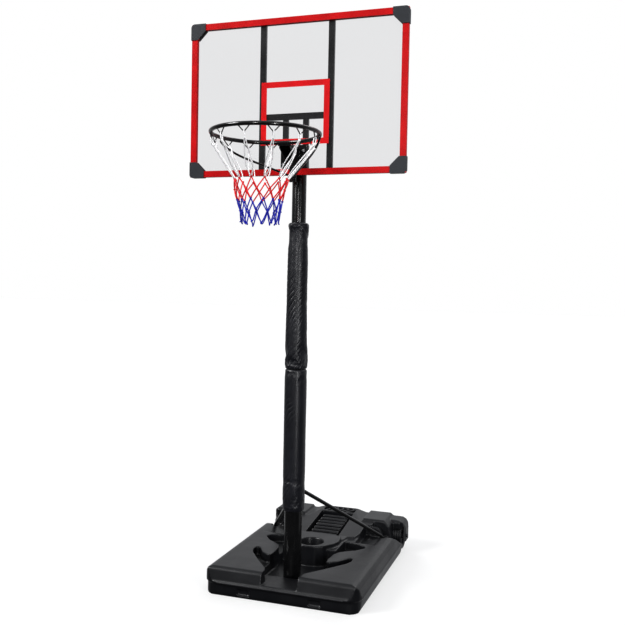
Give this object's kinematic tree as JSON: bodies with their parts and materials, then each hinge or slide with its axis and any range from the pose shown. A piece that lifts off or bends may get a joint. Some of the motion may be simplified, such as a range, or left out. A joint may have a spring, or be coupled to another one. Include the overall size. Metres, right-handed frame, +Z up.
{
  "type": "portable basketball hoop",
  "caption": "Free-standing basketball hoop: wheeled ballast tank, padded telescoping pole, framed clear backboard, steel ring with braces and a corded net.",
  "frame": {"origin": "on the floor, on the pole's axis", "axes": "+X to the right for someone facing the board, -Y to the front (the ring's side), +Z up"},
  "size_m": [1.106, 1.622, 2.819],
  "materials": {
    "tank_plastic": "blow-moulded, fine grain",
    "black_plastic": "moulded, satin",
    "white_plastic": "moulded, slick",
    "seal_rubber": "matt",
    "bolt_steel": "zinc plated",
    "black_paint": "powder coat, semi-gloss",
    "red_paint": "gloss",
    "pad_fabric": "coated woven nylon",
    "clear_sheet": "clear, polished",
    "net_cord": "braided cord, white, red and blue"
  },
  "bodies": {
    "root": {"tank": "tank_plastic", "cap_gasket": "seal_rubber", "axle": "bolt_steel", "axle_caps": "black_plastic", "strut_left": "black_paint", "strut_right": "black_paint", "strut_bolts": "bolt_steel", "lower_pole": "black_paint", "foot_cap": "black_plastic", "middle_pole": "black_paint", "pole_bolt": "bolt_steel", "guide_bush": "black_plastic", "lower_pad": "pad_fabric", "upper_pad": "pad_fabric"},
    "hoop": {"upper_pole": "black_paint", "glide_bush": "white_plastic", "upper_cap": "black_plastic", "pole_bracket": "black_paint", "bracket_bolts": "bolt_steel", "strap_left": "black_paint", "strap_right": "black_paint", "cross_bar": "black_paint", "upright_left": "black_paint", "upright_right": "black_paint", "rail_top": "red_paint", "rail_bottom": "red_paint", "rail_left": "red_paint", "rail_right": "red_paint", "corner_top_left": "black_plastic", "corner_top_right": "black_plastic", "corner_bottom_left": "black_plastic", "corner_bottom_right": "black_plastic", "frame_screws": "bolt_steel", "panel": "clear_sheet", "target_square": "red_paint", "rim_bracket": "black_paint", "rim_spacers": "bolt_steel", "rim_bolts": "bolt_steel", "ring": "black_paint", "net_hooks": "black_paint", "brace_left": "black_paint", "brace_right": "black_paint", "net": "net_cord"},
    "wheel_left": {"wheel_left": "black_plastic"},
    "wheel_right": {"wheel_right": "black_plastic"},
    "filler_cap": {"filler_cap": "black_plastic"},
    "height_knob": {"height_knob": "black_plastic"}
  },
  "joints": [
    {"name": "height_slide", "type": "slide", "parent": "root", "child": "hoop", "axis": [0, 0, 1], "range_m": [0, 0.85]},
    {"name": "wheel_left_spin", "type": "hinge", "parent": "root", "child": "wheel_left", "pos_m": [-0.36, 0.842, 0.079], "axis": [1, 0, 0], "continuous": true},
    {"name": "wheel_right_spin", "type": "hinge", "parent": "root", "child": "wheel_right", "pos_m": [0.36, 0.842, 0.079], "axis": [1, 0, 0], "continuous": true},
    {"name": "filler_cap_turn", "type": "hinge", "parent": "root", "child": "filler_cap", "pos_m": [0, 0.3, 0.105], "axis": [0, 0, 1], "range_deg": [0, 540]},
    {"name": "height_knob_turn", "type": "hinge", "parent": "root", "child": "height_knob", "pos_m": [0, 0.06, 1.792], "axis": [0, 1, 0], "continuous": true}
  ]
}
